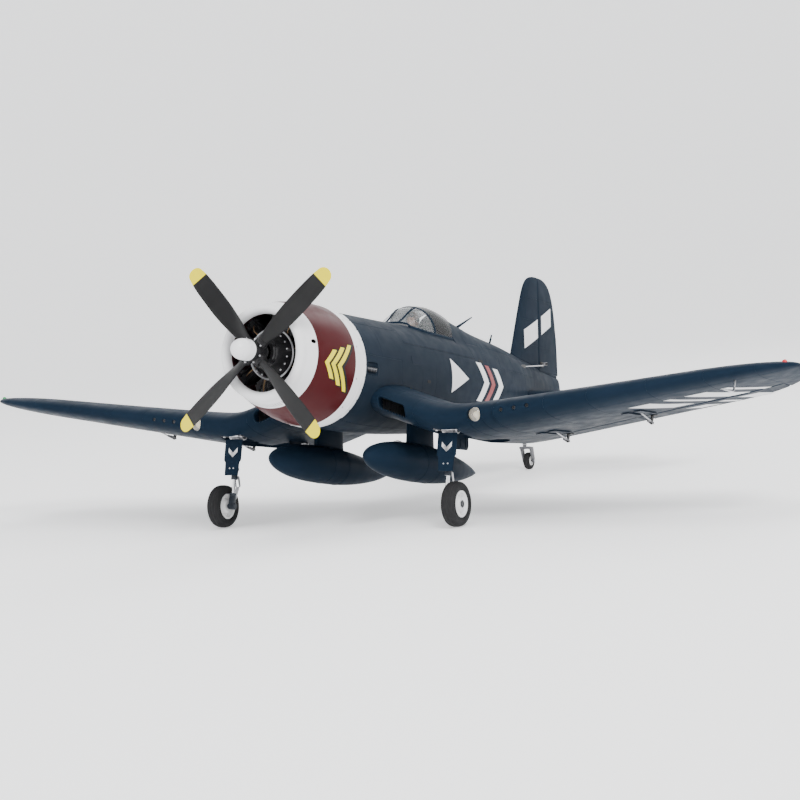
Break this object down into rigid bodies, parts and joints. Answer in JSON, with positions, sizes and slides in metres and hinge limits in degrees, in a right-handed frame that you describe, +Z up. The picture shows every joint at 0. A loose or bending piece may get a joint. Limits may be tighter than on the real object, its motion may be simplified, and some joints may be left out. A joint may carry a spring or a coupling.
{
  "type": "radio-controlled gull-wing fighter aircraft",
  "caption": "Radio-controlled gull-wing naval fighter on retractable landing gear, with a radial cowling, propeller, drop tanks, hinged control surfaces and a lift-off cockpit hatch.",
  "frame": {"origin": "on the ground under the middle of the bounding box", "axes": "+X towards the port wing tip (to the left of someone sitting in the cockpit), +Y aft, +Z up; the airframe stands nose-up on its main wheels and tail wheel"},
  "size_m": [1.1996, 0.9462, 0.3456],
  "materials": {
    "navy_paint": "satin navy paint over moulded foam",
    "white_paint": "satin white paint",
    "black_plastic": "satin",
    "grey_plastic": "matt",
    "steel": "bright",
    "smoked_glazing": "clear, smoke tinted",
    "clear_glazing": "clear",
    "rubber": "matt",
    "blue_sleeve": "shrink sleeve",
    "tan_paint": "matt paint"
  },
  "bodies": {
    "airframe": {"fuselage": "navy_paint", "cowling": "white_paint", "motor_mount": "grey_plastic", "dummy_engine": "black_plastic", "motor_stator": "steel", "battery": "blue_sleeve", "speed_controller": "black_plastic", "receiver": "grey_plastic", "tail_servo": "black_plastic", "antenna_mast": "navy_paint", "fin": "navy_paint", "wing_center": "navy_paint", "tailplane": "navy_paint", "port_wing_panel": "navy_paint", "port_wing_joiner": "black_plastic", "port_drop_tank": "navy_paint", "port_retract_unit": "grey_plastic", "starboard_wing_panel": "navy_paint", "starboard_wing_joiner": "black_plastic", "starboard_drop_tank": "navy_paint", "starboard_retract_unit": "grey_plastic"},
    "hatch": {"canopy_hatch": "navy_paint", "windscreen": "clear_glazing", "canopy_hood": "smoked_glazing", "pilot": "tan_paint"},
    "propeller": {"motor_bell": "black_plastic", "propeller_hub": "black_plastic", "spinner": "white_paint", "propeller_blade_1": "black_plastic", "propeller_blade_2": "black_plastic", "propeller_blade_3": "black_plastic", "propeller_blade_4": "black_plastic"},
    "port_aileron": {"port_aileron": "navy_paint"},
    "port_aileron_rod": {"port_aileron_pushrod": "steel"},
    "port_flap": {"port_flap": "navy_paint"},
    "port_flap_rod": {"port_flap_pushrod": "steel"},
    "starboard_aileron": {"starboard_aileron": "navy_paint"},
    "starboard_aileron_rod": {"starboard_aileron_pushrod": "steel"},
    "starboard_flap": {"starboard_flap": "navy_paint"},
    "starboard_flap_rod": {"starboard_flap_pushrod": "steel"},
    "elevators": {"port_elevator": "navy_paint", "starboard_elevator": "navy_paint"},
    "elevator_rod": {"elevator_pushrod": "steel"},
    "rudder": {"rudder": "navy_paint"},
    "rudder_rod": {"rudder_pushrod": "steel"},
    "port_leg": {"port_trunnion": "steel", "port_gear_cover": "navy_paint"},
    "port_strut": {"port_strut": "navy_paint"},
    "port_axle_leg": {"port_axle_leg": "steel"},
    "port_wheel": {"port_wheel_hub": "white_paint", "port_tyre": "rubber"},
    "starboard_leg": {"starboard_trunnion": "steel", "starboard_gear_cover": "navy_paint"},
    "starboard_strut": {"starboard_strut": "navy_paint"},
    "starboard_axle_leg": {"starboard_axle_leg": "steel"},
    "starboard_wheel": {"starboard_wheel_hub": "white_paint", "starboard_tyre": "rubber"},
    "tail_strut": {"tail_strut": "grey_plastic"},
    "tail_wheel": {"tail_wheel_hub": "white_paint", "tail_tyre": "rubber"}
  },
  "joints": [
    {"name": "propeller_spin", "type": "hinge", "parent": "airframe", "child": "propeller", "pos_m": [0, -0.42672, 0.23861], "axis": [0, 0.9871, -0.1602], "continuous": true},
    {"name": "hatch_lift", "type": "slide", "parent": "airframe", "child": "hatch", "axis": [0, 0.1602, 0.9871], "range_m": [0, 0.06]},
    {"name": "port_aileron_hinge", "type": "hinge", "parent": "airframe", "child": "port_aileron", "pos_m": [0.358, -0.08812, 0.12145], "axis": [0.9755, -0.1426, 0.1673], "range_deg": [-20, 20]},
    {"name": "port_aileron_rod_pin", "type": "hinge", "parent": "port_aileron", "child": "port_aileron_rod", "pos_m": [0.373, -0.09171, 0.10601], "axis": [0.9755, -0.1426, 0.1673], "range_deg": [-20, 20]},
    {"name": "port_flap_hinge", "type": "hinge", "parent": "airframe", "child": "port_flap", "pos_m": [0.238, -0.07127, 0.10043], "axis": [-0.976, 0.1357, -0.1705], "range_deg": [0, 30]},
    {"name": "port_flap_rod_pin", "type": "hinge", "parent": "port_flap", "child": "port_flap_rod", "pos_m": [0.2475, -0.07399, 0.08408], "axis": [-0.976, 0.1357, -0.1705], "range_deg": [-30, 0]},
    {"name": "starboard_aileron_hinge", "type": "hinge", "parent": "airframe", "child": "starboard_aileron", "pos_m": [-0.358, -0.08812, 0.12145], "axis": [0.9755, 0.1426, -0.1673], "range_deg": [-20, 20]},
    {"name": "starboard_aileron_rod_pin", "type": "hinge", "parent": "starboard_aileron", "child": "starboard_aileron_rod", "pos_m": [-0.373, -0.09171, 0.10601], "axis": [0.9755, 0.1426, -0.1673], "range_deg": [-20, 20]},
    {"name": "starboard_flap_hinge", "type": "hinge", "parent": "airframe", "child": "starboard_flap", "pos_m": [-0.238, -0.07127, 0.10043], "axis": [-0.976, -0.1357, 0.1705], "range_deg": [0, 30]},
    {"name": "starboard_flap_rod_pin", "type": "hinge", "parent": "starboard_flap", "child": "starboard_flap_rod", "pos_m": [-0.2475, -0.07399, 0.08408], "axis": [-0.976, -0.1357, 0.1705], "range_deg": [-30, 0]},
    {"name": "elevator_hinge", "type": "hinge", "parent": "airframe", "child": "elevators", "pos_m": [0, 0.36591, 0.10997], "axis": [1, 0, 0], "range_deg": [-18, 18]},
    {"name": "elevator_rod_pin", "type": "hinge", "parent": "elevators", "child": "elevator_rod", "pos_m": [-0.029, 0.36467, 0.09294], "axis": [1, 0, 0], "range_deg": [-18, 18]},
    {"name": "rudder_hinge", "type": "hinge", "parent": "airframe", "child": "rudder", "pos_m": [0, 0.38875, 0.15083], "axis": [0, 0.1602, 0.9871], "range_deg": [-25, 25]},
    {"name": "rudder_rod_pin", "type": "hinge", "parent": "rudder", "child": "rudder_rod", "pos_m": [0.017, 0.39166, 0.16252], "axis": [0, 0.1602, 0.9871], "range_deg": [-25, 25]},
    {"name": "port_gear_retract", "type": "hinge", "parent": "airframe", "child": "port_leg", "pos_m": [0.161, -0.23947, 0.12211], "axis": [1, 0, 0], "range_deg": [0, 95]},
    {"name": "port_leg_twist", "type": "hinge", "parent": "port_leg", "child": "port_strut", "pos_m": [0.161, -0.23947, 0.12211], "axis": [0, 0.296, 0.9552], "range_deg": [0, 90]},
    {"name": "port_oleo", "type": "slide", "parent": "port_strut", "child": "port_axle_leg", "axis": [0, 0.296, 0.9552], "range_m": [0, 0.006], "stiffness_N_per_m": 3000, "springref_m": -0.008},
    {"name": "port_wheel_spin", "type": "hinge", "parent": "port_axle_leg", "child": "port_wheel", "pos_m": [0.175, -0.26848, 0.0285], "axis": [1, 0, 0], "continuous": true},
    {"name": "starboard_gear_retract", "type": "hinge", "parent": "airframe", "child": "starboard_leg", "pos_m": [-0.161, -0.23947, 0.12211], "axis": [1, 0, 0], "range_deg": [0, 95]},
    {"name": "starboard_leg_twist", "type": "hinge", "parent": "starboard_leg", "child": "starboard_strut", "pos_m": [-0.161, -0.23947, 0.12211], "axis": [0, 0.296, 0.9552], "range_deg": [-90, 0]},
    {"name": "starboard_oleo", "type": "slide", "parent": "starboard_strut", "child": "starboard_axle_leg", "axis": [0, 0.296, 0.9552], "range_m": [0, 0.006], "stiffness_N_per_m": 3000, "springref_m": -0.008},
    {"name": "starboard_wheel_spin", "type": "hinge", "parent": "starboard_axle_leg", "child": "starboard_wheel", "pos_m": [-0.175, -0.26848, 0.0285], "axis": [1, 0, 0], "continuous": true},
    {"name": "tail_wheel_steer", "type": "hinge", "parent": "airframe", "child": "tail_strut", "pos_m": [0, 0.32027, 0.01606], "axis": [0, 0.1602, 0.9871], "range_deg": [-25, 25]},
    {"name": "tail_wheel_spin", "type": "hinge", "parent": "tail_strut", "child": "tail_wheel", "pos_m": [0, 0.33607, 0.0135], "axis": [1, 0, 0], "continuous": true}
  ],
  "couplings": [
    {"joint": "port_aileron_rod_pin", "follows": "port_aileron_hinge", "ratio": -1},
    {"joint": "port_flap_rod_pin", "follows": "port_flap_hinge", "ratio": -1},
    {"joint": "starboard_aileron_hinge", "follows": "port_aileron_hinge", "ratio": -1},
    {"joint": "starboard_aileron_rod_pin", "follows": "port_aileron_hinge", "ratio": 1},
    {"joint": "starboard_flap_hinge", "follows": "port_flap_hinge", "ratio": 1},
    {"joint": "starboard_flap_rod_pin", "follows": "port_flap_hinge", "ratio": -1},
    {"joint": "elevator_rod_pin", "follows": "elevator_hinge", "ratio": -1},
    {"joint": "rudder_rod_pin", "follows": "rudder_hinge", "ratio": -1},
    {"joint": "port_leg_twist", "follows": "port_gear_retract", "ratio": 0.94737},
    {"joint": "starboard_gear_retract", "follows": "port_gear_retract", "ratio": 1},
    {"joint": "starboard_leg_twist", "follows": "port_gear_retract", "ratio": -0.94737},
    {"joint": "tail_wheel_steer", "follows": "rudder_hinge", "ratio": 1}
  ]
}
